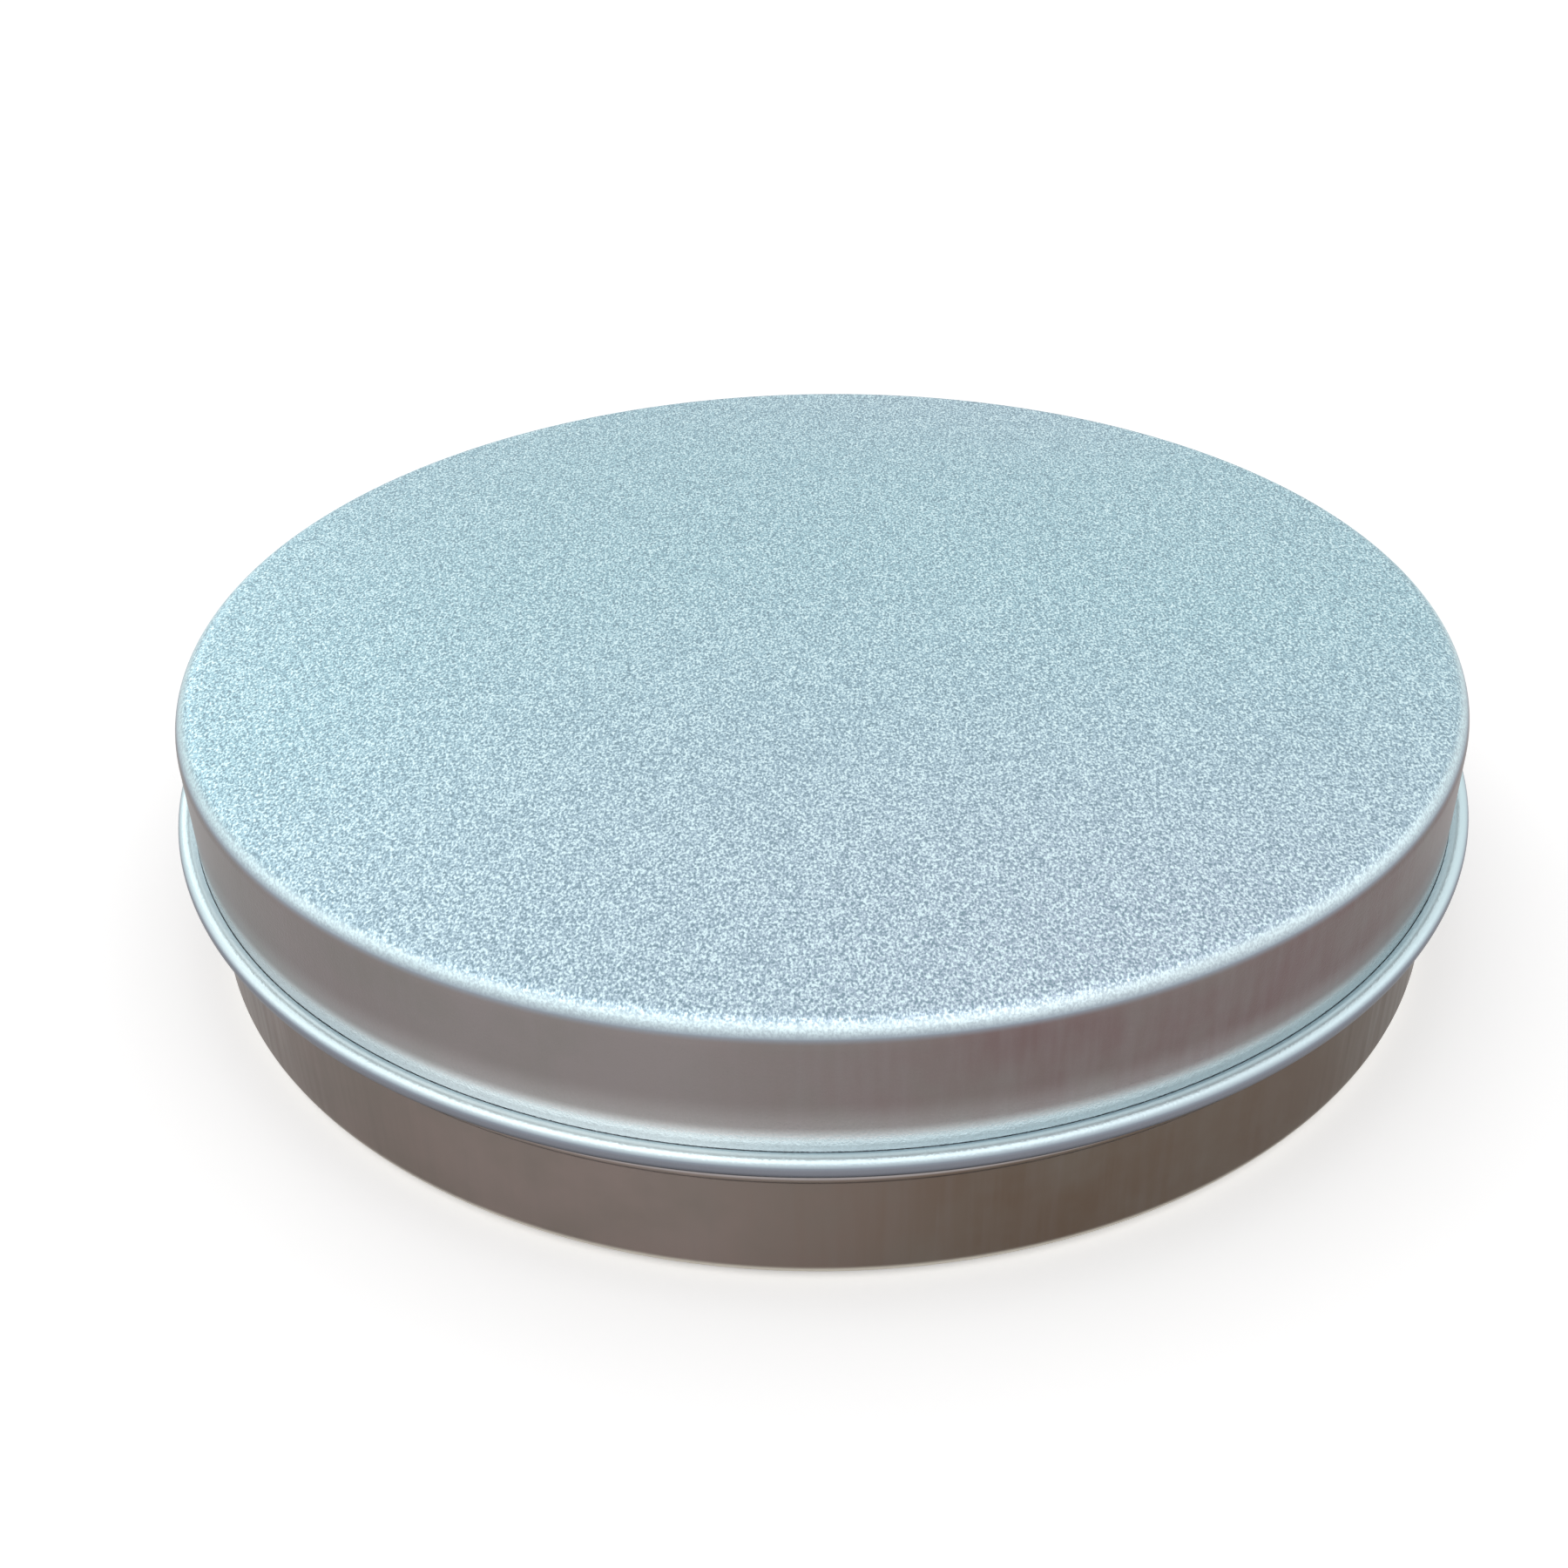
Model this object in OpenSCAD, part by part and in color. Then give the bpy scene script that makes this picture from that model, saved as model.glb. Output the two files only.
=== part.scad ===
// Round slip-lid candy tin, closed. Two drawn pieces of bright tinplate: a base with
// its raw edge rolled inward, and a lid with its raw edge rolled outward.
// +Z is up through the lid, and the origin is the centre of the base's underside.

/* [Tin] */
// Diameter over the lid's wall
tin_d = 100; // [80:1:140]
// Height of the closed tin, from the underside of the base to the top of the lid
tin_h = 21.5; // [18:0.1:40]
// Thickness of the tinplate
sheet_t = 0.25; // [0.2:0.01:0.3]

/* [Lid] */
// Height of the lid, from the foot of its rolled rim to its top
lid_h = 10.9; // [6:0.1:12]
// How far the lid's rolled rim stands out from its wall
lid_curl_d = 1.4; // [1.2:0.05:2]

/* [Base] */
// Radius of the round edge where the base's floor turns up into its wall
foot_r = 1.5; // [1:0.05:2.8]
// Width of the roll that closes the base's upper edge, across wall and roll
rim_curl_d = 2.4; // [1.6:0.05:2.6]
// Height along the wall of the shallow bead that runs round the base
bead_w = 0.9; // [0.8:0.1:1.6]
// How far that bead stands out from the base's wall
bead_h = 0.18; // [0.1:0.01:0.25]
// Drop from the lid's rim to the middle of that bead
bead_drop = 1.55; // [1.2:0.05:2.2]

/* [Fit] */
// Radial clearance between the base's wall and the lid that slips over it
slip_gap = 0.25; // [0.2:0.01:0.5]
// Clearance between the base's rolled edge and the lid's ceiling
seat_gap = 0.05; // [0.02:0.01:0.2]

/* [Hidden] */
$fn = 180;

// Walls, each at its outer face
lid_r = tin_d / 2;
base_r = lid_r - sheet_t - slip_gap;

// A roll is two half circles. The half that leaves the wall is the larger by half a
// sheet, so that the raw edge comes round to lie beside the wall
lid_roll_r = lid_curl_d / 2;
rim_roll_r = (rim_curl_d - sheet_t) / 2;
wrap_step = sheet_t / 2;
// Where the raw edge stops, measured round from the roll's outermost point
raw_edge_a = 150;

// The lid's top edge is rounded so that its inside clears the base's rolled edge evenly
lid_edge_r = rim_roll_r + wrap_step + slip_gap + sheet_t;

// Levels
lid_rim_z = tin_h - lid_h;
lid_roll_z = lid_rim_z + lid_roll_r + wrap_step;
base_h = tin_h - sheet_t - seat_gap;
rim_roll_z = base_h - rim_roll_r - wrap_step;
bead_z = lid_rim_z - bead_drop;

// The bead is a segment of a round: bead_w is its chord and bead_h its rise
bead_r = (bead_h * bead_h + bead_w * bead_w / 4) / (2 * bead_h);

// A strip of sheet bent round the origin from one angle to another
module bend(outer_r, from, to) {
    reach = 2 * outer_r;
    intersection() {
        difference() {
            circle(r = outer_r);
            circle(r = outer_r - sheet_t);
        }
        polygon([[0, 0], for (a = [from, (from + to) / 2, to]) reach * [cos(a), sin(a)]]);
    }
}

// An upright strip of sheet, with its outer face at radius r
module upright(r, bottom, top) {
    translate([r - sheet_t, bottom]) square([sheet_t, top - bottom]);
}

// A roll whose wall comes down at the left with its outer face at zero: the sheet
// passes underneath, and the raw edge comes back over the top
module roll(r) {
    translate([r - wrap_step, 0]) bend(r + wrap_step, 180, 360);
    translate([r, 0]) bend(r, 0, raw_edge_a);
}

// The round that the bead follows, on the sheet's outer face or on its inner one
module bead_round(r) {
    translate([base_r + bead_h - bead_r, bead_z]) circle(r = r);
}

// The base's wall, pressed out along the bead and as thick there as elsewhere
module base_wall() {
    difference() {
        union() {
            upright(base_r, foot_r, rim_roll_z);
            intersection() {
                bead_round(bead_r);
                upright(base_r + bead_h, bead_z - bead_w, bead_z + bead_w);
            }
        }
        bead_round(bead_r - sheet_t);
    }
}

module base_profile() {
    square([base_r - foot_r, sheet_t]);
    translate([base_r - foot_r, foot_r]) bend(foot_r, 270, 360);
    base_wall();
    translate([base_r - sheet_t, rim_roll_z]) rotate(180) roll(rim_roll_r);
}

module lid_profile() {
    translate([0, tin_h - sheet_t]) square([lid_r - lid_edge_r, sheet_t]);
    translate([lid_r - lid_edge_r, tin_h - lid_edge_r]) bend(lid_edge_r, 0, 90);
    upright(lid_r, lid_roll_z, tin_h - lid_edge_r);
    translate([lid_r, lid_roll_z]) roll(lid_roll_r);
}

module base() {
    color([0.55, 0.52, 0.50]) rotate_extrude() base_profile();
}

module lid() {
    color([0.71, 0.79, 0.84]) rotate_extrude() lid_profile();
}

base();
lid();
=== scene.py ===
import math

import bpy
import numpy as np
from mathutils import Matrix, Vector


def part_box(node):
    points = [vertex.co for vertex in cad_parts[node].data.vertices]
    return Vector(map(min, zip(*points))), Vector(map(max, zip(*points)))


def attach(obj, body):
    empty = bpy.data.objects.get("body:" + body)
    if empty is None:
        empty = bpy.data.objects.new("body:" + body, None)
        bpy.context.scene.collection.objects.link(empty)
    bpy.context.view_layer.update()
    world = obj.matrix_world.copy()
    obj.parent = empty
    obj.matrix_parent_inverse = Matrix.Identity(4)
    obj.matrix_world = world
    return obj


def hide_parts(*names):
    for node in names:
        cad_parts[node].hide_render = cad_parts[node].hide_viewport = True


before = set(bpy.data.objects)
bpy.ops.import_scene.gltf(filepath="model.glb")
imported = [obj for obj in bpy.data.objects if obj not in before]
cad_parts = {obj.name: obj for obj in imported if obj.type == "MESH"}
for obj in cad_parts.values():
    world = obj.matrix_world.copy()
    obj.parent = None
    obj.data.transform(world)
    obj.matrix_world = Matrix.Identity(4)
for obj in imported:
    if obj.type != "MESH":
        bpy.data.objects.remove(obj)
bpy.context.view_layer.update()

# Base: a cup drawn from one disc of satin tinplate, with a flat floor, a small round
# foot, a shallow bead pressed out of its straight wall, and a rim rolled inward so
# that no raw edge is left. Its skin is one closed outline turned round the axis.

mm = 0.001
sheet_t = 0.25 * mm
base_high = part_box("base")[1]
foot_r = 1.5 * mm
bead_w = 0.9 * mm
bead_h = 0.18 * mm
bead_drop = 1.55 * mm
bead_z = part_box("lid")[0].z - bead_drop
base_r = base_high.x - bead_h
rim_curl_w = 2.4 * mm
rim_roll_r = (rim_curl_w - sheet_t) / 2
rim_roll_z = base_high.z - rim_roll_r - sheet_t / 2
raw_edge_a = 150


def line(start, stop, steps):
    """Points (r, z) at even steps from start to stop, both included."""
    return np.linspace(start, stop, steps + 1)


def arc(centre, radius, start, stop, steps):
    """Points (r, z) at centre plus radius times (cos a, sin a), for even steps of a in degrees."""
    a = np.radians(np.linspace(start, stop, steps + 1))
    return np.array(centre) + radius * np.stack([np.cos(a), np.sin(a)], -1)


def outline(stretches):
    """One outline from named stretches, each beginning where the last one ended, and the name of
    the stretch that each point is in."""
    pieces = list(stretches.values())
    points = np.concatenate([pieces[0][:1]] + [piece[1:] for piece in pieces])
    names = [name for name, piece in stretches.items() for _ in piece[1:]]
    return points, np.array([names[0]] + names)


def facing(points):
    """How far the skin faces up at each point, from -1 to 1: how far the outline there runs outward
    for each step along it, because the normal stands square to the outline."""
    along = np.gradient(points, axis=0)
    return along[:, 0] / np.linalg.norm(along, axis=1)


def ease(low, high, value):
    """0 below low and 1 above high, with the smooth step 3t^2 - 2t^3 between them."""
    t = np.clip((value - low) / (high - low), 0, 1)
    return t * t * (3 - 2 * t)


def turned(name, points, tones, around=360):
    """A closed skin: every outline point (r, z) goes round the axis to (r cos a, r sin a, z), and the
    outline's two ends, on the axis, are one point each. Each tone is a value along the outline."""
    a = np.arange(around) * (2 * math.pi / around)
    r, z = points[1:-1].T
    height = np.repeat(z[:, None], around, 1)
    rings = np.stack([r[:, None] * np.cos(a), r[:, None] * np.sin(a), height], -1)
    first, last = [0, 0, points[0, 1]], [0, 0, points[-1, 1]]
    verts = np.concatenate([[first], rings.reshape(-1, 3), [last]])
    here = 1 + np.arange(around)
    ahead = 1 + (np.arange(around) + 1) % around
    step = np.arange(len(r) - 1)[:, None] * around
    quads = np.stack([here + step, here + step + around, ahead + step + around, ahead + step], -1)
    quads = quads.reshape(-1, 4)
    end = (len(r) - 1) * around
    fan_first = np.stack([0 * here, here, ahead], -1)
    fan_last = np.stack([here + end, 0 * here + len(verts) - 1, ahead + end], -1)
    mesh = bpy.data.meshes.new(name)
    mesh.from_pydata(verts.tolist(), [], quads.tolist() + fan_first.tolist() + fan_last.tolist())
    mesh.shade_smooth()
    for tone_name, value in tones.items():
        value = np.asarray(value, np.float32)
        along = np.concatenate([value[:1], np.repeat(value[1:-1], around), value[-1:]])
        mesh.attributes.new(tone_name, "FLOAT", "POINT").data.foreach_set("value", along)
    piece = bpy.data.objects.new(name, mesh)
    bpy.context.scene.collection.objects.link(piece)
    return piece


def bead_rise(z):
    """How far the wall stands out at height z: half of bead_h times (1 + cos), with one turn of the
    cosine over the bead's width and nothing outside it."""
    share = np.clip((z - bead_z) / (bead_w / 2), -1, 1)
    return bead_h * (1 + np.cos(math.pi * share)) / 2


bead_span = line((0, bead_z + bead_w / 2), (0, bead_z - bead_w / 2), 28)
bead_out = bead_span + np.stack([base_r + bead_rise(bead_span[:, 1]), 0 * bead_span[:, 1]], -1)
bead_in = (bead_out - [sheet_t, 0])[::-1]
foot_centre = (base_r - foot_r, foot_r)
roll_centre = (base_r - sheet_t - rim_roll_r, rim_roll_z)
wrap_centre = (roll_centre[0] + sheet_t / 2, rim_roll_z)
inner_r = base_r - sheet_t
tube_in = arc(roll_centre, rim_roll_r - sheet_t, 180, 180 + raw_edge_a, 12)
tube_out = arc(roll_centre, rim_roll_r, 180 + raw_edge_a, 180, 24)
base_outline, part = outline({
    "floor inside": line((0, sheet_t), (base_r - foot_r, sheet_t), 12),
    "corner inside": arc(foot_centre, foot_r - sheet_t, 270, 360, 14),
    "wall inside, low": line((inner_r, foot_r), bead_in[0], 6),
    "bead inside": bead_in,
    "wall inside, high": line(bead_in[-1], (inner_r, rim_roll_z), 8),
    "inside of the roll, wall half": arc(wrap_centre, rim_roll_r - sheet_t / 2, 0, 180, 14),
    "inside of the roll": tube_in,
    "raw edge": line(tube_in[-1], tube_out[0], 1),
    "roll": tube_out,
    "roll, wall half": arc(wrap_centre, rim_roll_r + sheet_t / 2, 180, 0, 32),
    "wall, high": line((base_r, rim_roll_z), bead_out[0], 12),
    "bead": bead_out,
    "wall, low": line(bead_out[-1], (base_r, foot_r), 10),
    "foot": arc(foot_centre, foot_r, 0, -90, 24),
    "underside": line((base_r - foot_r, 0), (0, 0), 12),
})
up = facing(base_outline)
rolled = np.isin(part, ["roll", "roll, wall half"])
bare = np.isin(part, ["floor inside", "corner inside", "wall inside, low", "bead inside",
                      "wall inside, high", "underside"])
# Tones: a painted highlight on the roll where it faces up, and a painted highlight on the
# bead's upper side. bare: plain tin. under: a painted glint, the light line where the foot turns under.
base_tones = {
    "bright": np.where(rolled, ease(0.0, 0.6, up), 0),
    "bead": np.where(part == "bead", ease(0.2, 0.6, up), 0),
    "bare": bare,
    "under": np.where(part == "foot", ease(0.1, 0.4, -up) * (1 - ease(0.75, 0.95, -up)), 0),
}
base = turned("base_shell", base_outline, base_tones)


def steel(name, edge_tint):
    """A new metal material, its node tree, its Object coordinates and its shader. An edge_tint
    below 1 holds dark metal back from going white where it is seen edge on."""
    material = bpy.data.materials.new(name)
    material.use_nodes = True
    tree = material.node_tree
    shader = tree.nodes["Principled BSDF"]
    shader.inputs["Metallic"].default_value = 1
    shader.inputs["Specular Tint"].default_value = (edge_tint, edge_tint, edge_tint, 1)
    place = tree.nodes.new("ShaderNodeTexCoord").outputs["Object"]
    return material, tree, place, shader


def noise(tree, place, scale, detail=2, roughness=0.5):
    """Noise from 0 to 1 with features about 1 / scale metres across."""
    node = tree.nodes.new("ShaderNodeTexNoise")
    node.inputs["Scale"].default_value = scale
    node.inputs["Detail"].default_value = detail
    node.inputs["Roughness"].default_value = roughness
    tree.links.new(place, node.inputs["Vector"])
    return node.outputs["Fac"]


def stretched(tree, place, scale, shift=(0, 0, 0)):
    """The place with each coordinate times its own scale, plus a shift."""
    node = tree.nodes.new("ShaderNodeMapping")
    node.inputs["Scale"].default_value = scale
    node.inputs["Location"].default_value = shift
    tree.links.new(place, node.inputs["Vector"])
    return node.outputs["Vector"]


def tone(tree, name):
    """A tone that the mesh carries."""
    node = tree.nodes.new("ShaderNodeAttribute")
    node.attribute_name = name
    return node.outputs["Fac"]


def spread(tree, value, low, high, to_low=0.0, to_high=1.0):
    """value taken from low..high to to_low..to_high, held at both ends."""
    node = tree.nodes.new("ShaderNodeMapRange")
    for socket, number in zip(("From Min", "From Max", "To Min", "To Max"), (low, high, to_low, to_high)):
        node.inputs[socket].default_value = number
    tree.links.new(value, node.inputs["Value"])
    return node.outputs["Result"]


def blend(tree, share, low, high):
    """From low to high by share, a number or a socket; low and high are colours or sockets."""
    node = tree.nodes.new("ShaderNodeMix")
    node.data_type = "RGBA"
    for socket, colour in ((node.inputs[6], low), (node.inputs[7], high)):
        if isinstance(colour, tuple):
            socket.default_value = (*colour, 1)
        else:
            tree.links.new(colour, socket)
    if isinstance(share, float):
        node.inputs[0].default_value = share
    else:
        tree.links.new(share, node.inputs[0])
    return node.outputs[2]


def raised(tree, height, depth):
    """A bump normal of depth metres from a height of 0 to 1."""
    node = tree.nodes.new("ShaderNodeBump")
    node.inputs["Distance"].default_value = depth
    tree.links.new(height, node.inputs["Height"])
    return node.outputs["Normal"]


satin_shaded_brown = (0.126, 0.091, 0.068)
satin_lit_grey = (0.210, 0.169, 0.153)
satin_green = (0.153, 0.135, 0.115)
satin_light = (0.209, 0.180, 0.166)
bare_grey = (0.47, 0.47, 0.455)
bare_light = (0.56, 0.56, 0.55)
bead_highlight = (0.40, 0.37, 0.37)
highlight_fade = (0.285, 0.33, 0.385)
highlight_blue = (0.714, 0.836, 0.877)
foot_glint = (0.60, 0.56, 0.49)
draw_line_scale = 1300
drift_scale = 22
patch_scale = 150
draw_line_depth = 0.004 * mm

satin, tree, place, shader = steel("satin_tinplate", 0.75)
draw_lines = noise(tree, stretched(tree, place, (1, 1, 0.06)), draw_line_scale, 3)
light_drift = noise(tree, stretched(tree, place, (1, 1, 0.3), (2, 0, 0)), drift_scale, 1)
patches = noise(tree, place, patch_scale, 3, 0.6)
# Painted light and shade: a slow noise mixes a shaded brown and a lit grey copy of the satin, and the
# wall's dark tone is a painted reflection of dark surroundings.
wall = blend(tree, spread(tree, light_drift, 0.35, 0.65), satin_shaded_brown, satin_lit_grey)
wall = blend(tree, spread(tree, patches, 0.4, 0.7, 0, 0.5), wall, satin_green)
wall = blend(tree, spread(tree, draw_lines, 0.4, 0.75, 0, 0.22), wall, satin_light)
# Painted highlight on the roll: a lavender fade where it begins, near white where the roll faces up.
skin = blend(tree, spread(tree, tone(tree, "bright"), 0, 0.4), wall, highlight_fade)
skin = blend(tree, spread(tree, tone(tree, "bright"), 0.3, 1), skin, highlight_blue)
# Painted highlight on the bead's upward-facing side.
skin = blend(tree, tone(tree, "bead"), skin, bead_highlight)
# Painted reflection: a pale line on the foot where it turns under.
skin = blend(tree, tone(tree, "under"), skin, foot_glint)
plain = blend(tree, spread(tree, patches, 0.35, 0.65), bare_grey, bare_light)
skin = blend(tree, tone(tree, "bare"), skin, plain)
tree.links.new(skin, shader.inputs["Base Color"])
tree.links.new(spread(tree, draw_lines, 0.3, 0.7, 0.28, 0.42), shader.inputs["Roughness"])
tree.links.new(raised(tree, draw_lines, draw_line_depth), shader.inputs["Normal"])
base.data.materials.append(satin)
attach(base, "base")
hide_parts("base")

# Lid: a shallower cup of the same sheet, with a finely frosted top, a satin wall, and a
# top edge and an outward rolled rim, whose highlights are painted into the colour. The rim's raw
# edge is tucked against the wall.

lid_low, lid_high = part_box("lid")
lid_roll_r = 0.7 * mm
lid_r = lid_high.x - 2 * lid_roll_r
lid_edge_r = 1.7 * mm
lid_top = lid_high.z
lid_ceiling = lid_top - sheet_t
lid_roll_z = lid_low.z + lid_roll_r + sheet_t / 2
lid_inner_r = lid_r - sheet_t
edge_centre = (lid_r - lid_edge_r, lid_top - lid_edge_r)
lid_roll_centre = (lid_r + lid_roll_r, lid_roll_z)
lid_wrap_centre = (lid_roll_centre[0] - sheet_t / 2, lid_roll_z)
tuck_a = 118
tuck_rise = 0.4 * mm
tuck_gap = 0.012 * mm
lid_tube_in = arc(lid_roll_centre, lid_roll_r - sheet_t, 0, tuck_a, 14)
lid_tube_out = arc(lid_roll_centre, lid_roll_r, tuck_a, 0, 40)
raw_edge_top = np.array([lid_r + tuck_gap, lid_roll_z + tuck_rise])
tuck = raw_edge_top - lid_tube_out[0]
raw_edge_foot = raw_edge_top - sheet_t * np.array([tuck[1], -tuck[0]]) / np.linalg.norm(tuck)
lid_outline, part = outline({
    "top": line((0, lid_top), (lid_r - 2 * lid_edge_r, lid_top), 12),
    "top, margin": line((lid_r - 2 * lid_edge_r, lid_top), (edge_centre[0], lid_top), 8),
    "top edge": arc(edge_centre, lid_edge_r, 90, 0, 40),
    "wall": line((lid_r, edge_centre[1]), (lid_r, lid_roll_z), 40),
    "inside of the roll, wall half": arc(lid_wrap_centre, lid_roll_r - sheet_t / 2, 180, 360, 14),
    "inside of the roll": lid_tube_in,
    "inside of the roll, tucked": line(lid_tube_in[-1], raw_edge_foot, 4),
    "raw edge": line(raw_edge_foot, raw_edge_top, 1),
    "roll, tucked": line(raw_edge_top, lid_tube_out[0], 8),
    "roll": lid_tube_out,
    "roll, wall half": arc(lid_wrap_centre, lid_roll_r + sheet_t / 2, 360, 180, 36),
    "wall inside": line((lid_inner_r, lid_roll_z), (lid_inner_r, edge_centre[1]), 8),
    "edge inside": arc(edge_centre, lid_edge_r - sheet_t, 0, 90, 12),
    "ceiling": line((edge_centre[0], lid_ceiling), (0, lid_ceiling), 12),
})
up = facing(lid_outline)
rolled = np.isin(part, ["roll, tucked", "roll", "roll, wall half"])
on_top = np.isin(part, ["top", "top, margin"])
on_edge = part == "top edge"
above_roll = (lid_outline[:, 1] - lid_roll_z) / mm
# Painted reflection of the roll in the wall just above it, fading upward.
roll_reflection = 0.85 * (1 - ease(0.95, 2.4, above_roll)) + 0.15 * (1 - ease(1.8, 4.5, above_roll))
# Painted shade: the roll's inner side, towards the wall, is kept darker.
inward = ease(-0.1, 0.5, (lid_roll_centre[0] - lid_outline[:, 0]) / lid_roll_r)
# A painted highlight on the roll where it faces up, with less of it on the roll's inner side.
roll_highlight = ease(0.15, 0.98, up) * (1 - 0.15 * inward)
# frost: the blasted top. Painted highlights on the top edge and the roll. mirrored: a painted
# reflection of the roll in the foot of the wall. roll, under: the roll, and painted shade on its
# underside. bare: plain tin.
lid_tones = {
    "frost": np.where(on_top, 1, np.where(on_edge, ease(0.74, 0.94, up), 0)),
    "bright": np.where(on_edge, ease(0.22, 0.78, up), np.where(rolled, roll_highlight, 0)),
    "mirrored": np.where(part == "wall", roll_reflection, 0),
    "roll": rolled,
    "under": np.where(rolled, ease(0.0, 0.6, -up), 0),
    "bare": np.isin(part, ["wall inside", "edge inside", "ceiling"]),
}
lid = turned("lid_shell", lid_outline, lid_tones)


def paired(tree, operation, first, second):
    """Two values made one by operation: MULTIPLY, their product, or MAXIMUM, the greater."""
    node = tree.nodes.new("ShaderNodeMath")
    node.operation = operation
    tree.links.new(first, node.inputs[0])
    tree.links.new(second, node.inputs[1])
    return node.outputs[0]


frost_dark = (0.237, 0.342, 0.406)
frost_sky_teal = (0.388, 0.604, 0.682)
frost_sky_blue = (0.473, 0.547, 0.661)
frost_light = (0.778, 0.967, 1.000)
highlight_teal = (0.653, 0.847, 0.887)
mirrored_dim = (0.83, 0.89, 0.90)
mirrored_light = (1.0, 1.0, 1.0)
roll_teal = (0.622, 0.796, 0.836)
roll_blue = (0.653, 0.780, 0.826)
roll_lit = (0.79, 0.93, 0.96)
roll_grey = (0.19, 0.20, 0.23)
roll_shade = (0.06, 0.065, 0.085)
wall_shaded_brown = (0.167, 0.120, 0.118)
wall_lit_grey = (0.225, 0.200, 0.196)
wall_green = (0.190, 0.180, 0.167)
wall_light = (0.228, 0.206, 0.210)
mirrored_roughness = 0.24
grain_scale = 5500
fine_grain_scale = 7800
fine_grain_share = 0.45
hue_scale = 9
grain_depth = 0.07 * mm

frosted, tree, place, shader = steel("frosted_tinplate", 0.76)
draw_lines = noise(tree, stretched(tree, place, (1, 1, 0.12)), draw_line_scale, 3)
light_drift = noise(tree, stretched(tree, place, (1, 1, 0.3), (2, 0, 0)), drift_scale, 1)
patches = noise(tree, place, patch_scale, 3, 0.6)
# Painted light and shade: a slow noise mixes a shaded brown and a lit grey copy of the wall, whose dark
# tone is a painted reflection of dark surroundings.
wall = blend(tree, spread(tree, light_drift, 0.35, 0.65), wall_shaded_brown, wall_lit_grey)
wall = blend(tree, spread(tree, patches, 0.4, 0.7, 0, 0.6), wall, wall_green)
wall = blend(tree, spread(tree, draw_lines, 0.4, 0.75, 0, 0.25), wall, wall_light)
grain = noise(tree, stretched(tree, place, (1, 0.62, 1)), grain_scale, 1)
fine_grain = noise(tree, stretched(tree, place, (1, 0.62, 1), (0.3, 0.3, 0)), fine_grain_scale, 1)
grain = blend(tree, fine_grain_share, grain, fine_grain)
# Painted reflection of the roll on the wall, with the grain in it, lighter where the slow noise is high.
mirrored = paired(tree, "MULTIPLY", tone(tree, "mirrored"), spread(tree, grain, 0.35, 0.65, 0.86, 1))
mirror = blend(tree, spread(tree, light_drift, 0.35, 0.65), mirrored_dim, mirrored_light)
skin = blend(tree, mirrored, wall, mirror)
skin = blend(tree, tone(tree, "roll"), skin, roll_grey)
skin = blend(tree, spread(tree, tone(tree, "bright"), 0, 0.4), skin, highlight_fade)
hue = spread(tree, noise(tree, place, hue_scale, 1), 0.4, 0.7)
# Painted highlight on the top edge, between teal and blue by a slow noise, with the grain in it.
edge = blend(tree, hue, highlight_teal, highlight_blue)
edge = blend(tree, spread(tree, grain, 0.42, 0.58, 0.4, 0), edge, highlight_fade)
# Painted highlight on the roll, between teal and blue by a slow noise, and painted lighter where the slow
# light noise is high.
rim = blend(tree, hue, roll_teal, roll_blue)
rim = blend(tree, spread(tree, light_drift, 0.5, 0.65, 0, 0.8), rim, roll_lit)
edge = blend(tree, tone(tree, "roll"), edge, rim)
skin = blend(tree, spread(tree, tone(tree, "bright"), 0.3, 1), skin, edge)
# Painted shade on the roll's underside.
skin = blend(tree, tone(tree, "under"), skin, roll_shade)
# The top's pale blue and teal are a painted reflection of a pale sky; the grain across them is the
# frosting.
frost = blend(tree, hue, frost_sky_teal, frost_sky_blue)
frost = blend(tree, spread(tree, grain, 0.375, 0.5), frost_dark, frost)
frost = blend(tree, spread(tree, grain, 0.5, 0.625), frost, frost_light)
skin = blend(tree, tone(tree, "frost"), skin, frost)
plain = blend(tree, spread(tree, patches, 0.35, 0.65), bare_grey, bare_light)
skin = blend(tree, tone(tree, "bare"), skin, plain)
tree.links.new(skin, shader.inputs["Base Color"])
gloss = spread(tree, tone(tree, "bright"), 0, 1, 0.34, 0.36)
gloss = blend(tree, tone(tree, "mirrored"), gloss, (mirrored_roughness,) * 3)
gloss = paired(tree, "MAXIMUM", gloss, spread(tree, tone(tree, "frost"), 0, 1, 0, 0.36))
tree.links.new(gloss, shader.inputs["Roughness"])
relief = paired(tree, "MULTIPLY", grain, spread(tree, tone(tree, "frost"), 0, 1, 0.45, 1))
tree.links.new(raised(tree, relief, grain_depth), shader.inputs["Normal"])
lid.data.materials.append(frosted)
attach(lid, "lid")
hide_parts("lid")

# Stage: a plain pale floor under the tin, a white surrounding, a wide soft lamp overhead
# with smaller ones behind and at both sides, and a camera at the photograph's angle.

floor_half = 3.0
floor_white = 0.93
floor_lift = 0.36
floor_mesh = bpy.data.meshes.new("floor")
corners = [(x * floor_half, y * floor_half, 0) for x, y in ((-1, -1), (1, -1), (1, 1), (-1, 1))]
floor_mesh.from_pydata(corners, [], [(0, 1, 2, 3)])
floor = bpy.data.objects.new("floor", floor_mesh)
bpy.context.scene.collection.objects.link(floor)


def seen_rays(tree):
    """1 for a ray from the camera, off gloss or through glass, and 0 for a ray of diffuse light."""
    rays = tree.nodes.new("ShaderNodeLightPath")
    seen = rays.outputs["Is Camera Ray"]
    for kind in ("Is Glossy Ray", "Is Transmission Ray"):
        seen = paired(tree, "MAXIMUM", seen, rays.outputs[kind])
    return seen


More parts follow.
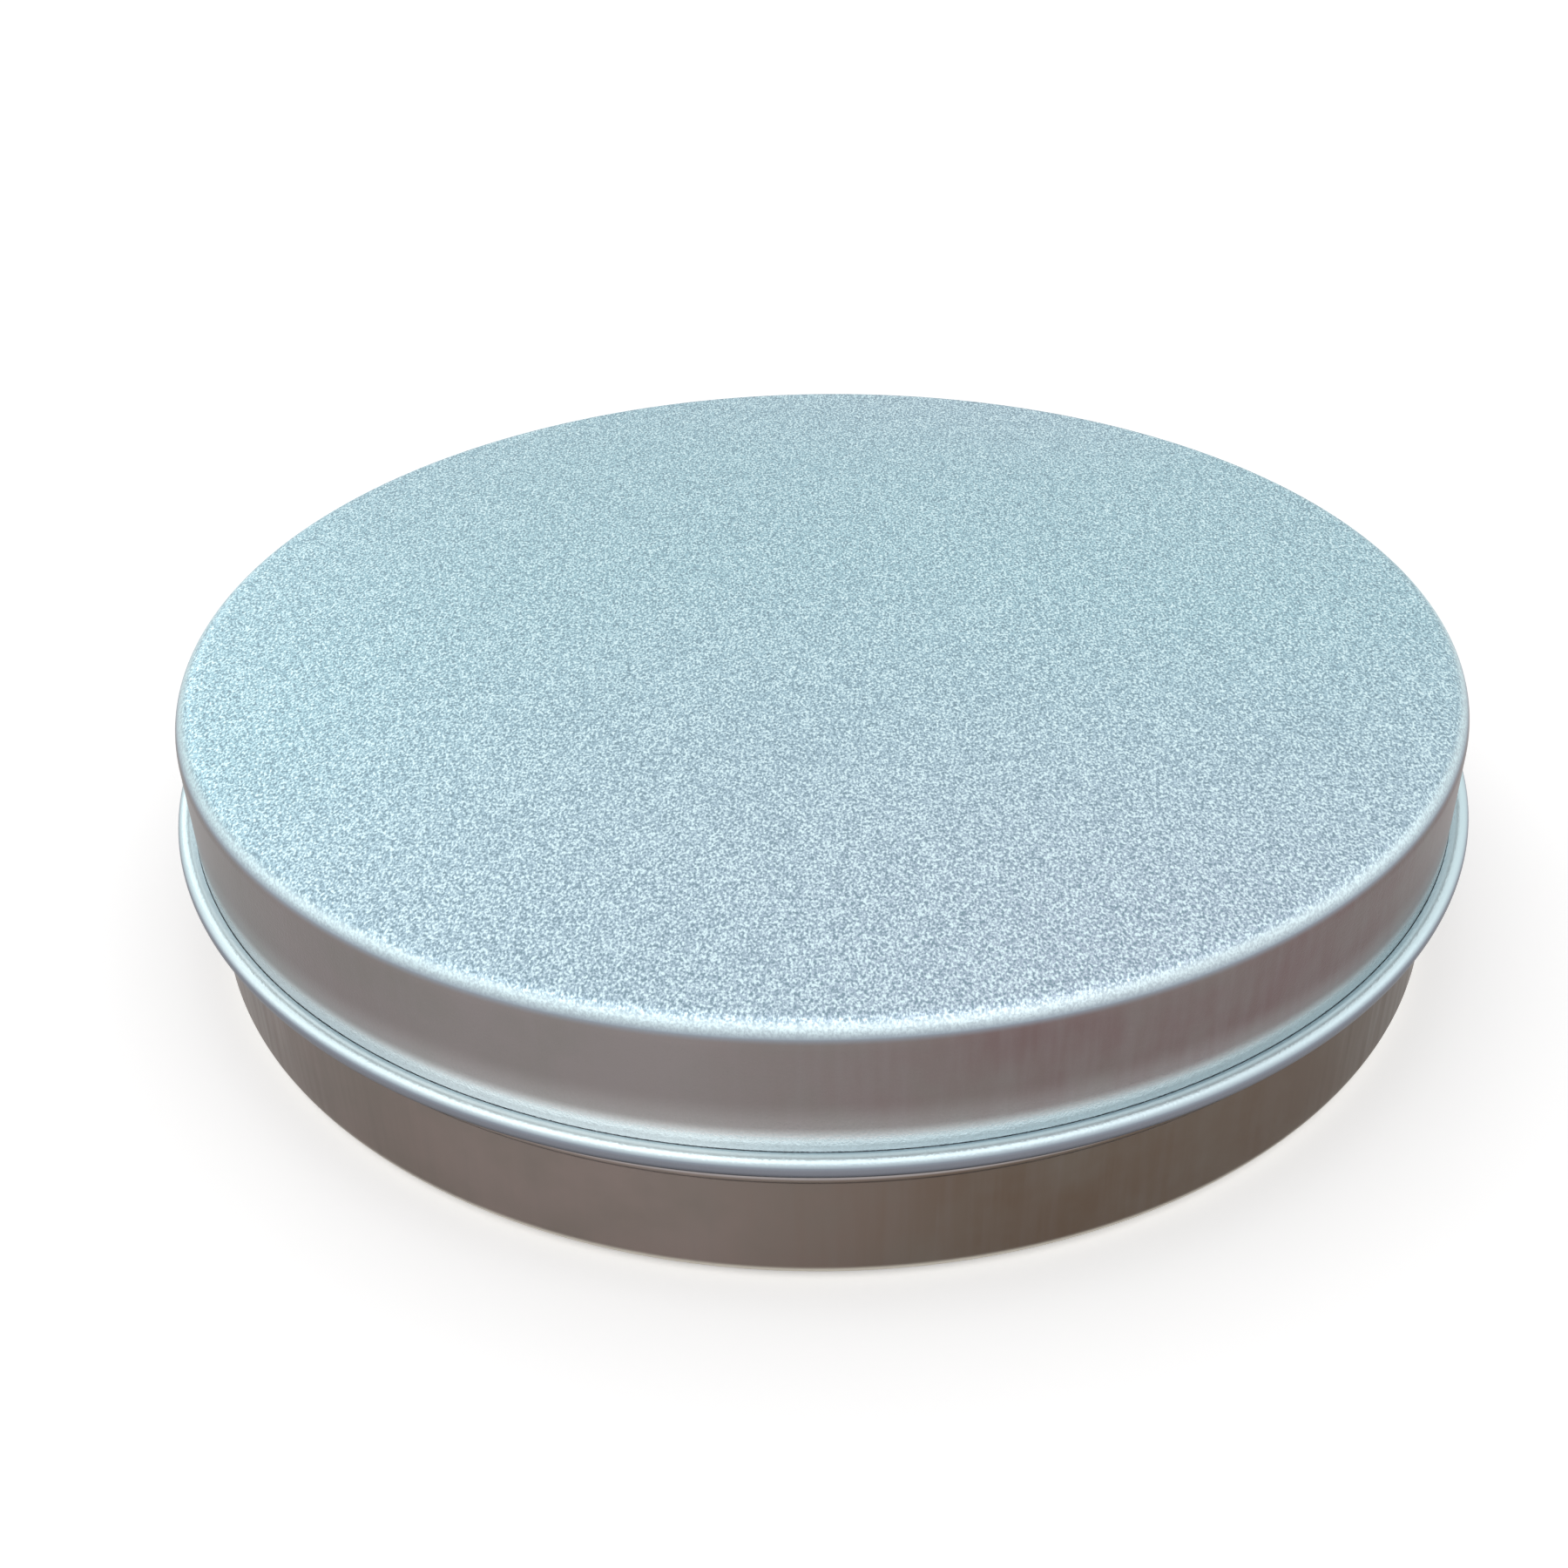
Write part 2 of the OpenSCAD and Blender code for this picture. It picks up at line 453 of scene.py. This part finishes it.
pale = bpy.data.materials.new("pale_floor")
pale.use_nodes = True
paint = pale.node_tree.nodes["Principled BSDF"]
paint.inputs["Base Color"].default_value = (floor_white, floor_white, floor_white, 1)
paint.inputs["Roughness"].default_value = 1
paint.inputs["Specular IOR Level"].default_value = 0
paint.inputs["Emission Color"].default_value = (1, 1, 1, 1)
lift = spread(pale.node_tree, seen_rays(pale.node_tree), 0, 1, 0, floor_lift)
pale.node_tree.links.new(lift, paint.inputs["Emission Strength"])
floor_mesh.materials.append(pale)

ambient = 0.62
world = bpy.data.worlds.new("studio")
bpy.context.scene.world = world
world.use_nodes = True
sky = world.node_tree
background = sky.nodes["Background"]
background.inputs["Color"].default_value = (1, 1, 1, 1)
sky.links.new(spread(sky, seen_rays(sky), 0, 1, ambient, 1), background.inputs["Strength"])


def lamp(name, place, width, depth, brightness):
    """A soft lamp aimed at the tin; its power is brightness times pi times its area."""
    light = bpy.data.lights.new(name, "AREA")
    light.shape, light.size, light.size_y = "RECTANGLE", width, depth
    light.energy = brightness * math.pi * width * depth
    holder = bpy.data.objects.new(name, light)
    holder.location = place
    aim = Vector((0, 0, lid_top / 2)) - Vector(place)
    holder.rotation_euler = aim.to_track_quat("-Z", "Y").to_euler()
    bpy.context.scene.collection.objects.link(holder)


lamp("overhead_lamp", (-0.1, -0.45, 1.55), 2.6, 1.2, 0.64)
lamp("back_lamp", (-1.1, 1.5, 0.8), 0.9, 0.9, 0.85)
lamp("left_lamp", (-1.6, 0.1, 0.9), 0.8, 0.8, 0.5)
lamp("right_lamp", (1.6, 0.3, 0.9), 0.8, 0.8, 0.4)

camera_distance = 3.195 * lid_r
camera_height_a = math.radians(34.85)
pan, tilt, roll = (math.radians(a) for a in (-1.286, 33.12, 1.368))
focal_pixels, image_pixels, sensor = 2120.9, 1800, 36
ahead = np.array([math.sin(pan) * math.cos(tilt), math.cos(pan) * math.cos(tilt), -math.sin(tilt)])
right = np.array([math.cos(pan), -math.sin(pan), 0])
down = np.cross(ahead, right)
level = np.stack([right, down])
right, down = np.array([[math.cos(roll), math.sin(roll)], [-math.sin(roll), math.cos(roll)]]) @ level
placed = np.eye(4)
placed[:3, :3] = np.stack([right, -down, -ahead], -1)
placed[:3, 3] = camera_distance * np.array([0, -math.cos(camera_height_a), math.sin(camera_height_a)])
lens = bpy.data.cameras.new("camera")
lens.sensor_width = sensor
lens.lens = focal_pixels / image_pixels * sensor
lens.clip_start, lens.clip_end = 0.01, 20
camera = bpy.data.objects.new("camera", lens)
camera.matrix_world = Matrix(placed.tolist())
bpy.context.scene.collection.objects.link(camera)
bpy.context.scene.camera = camera
bpy.context.scene.view_settings.view_transform = "Standard"
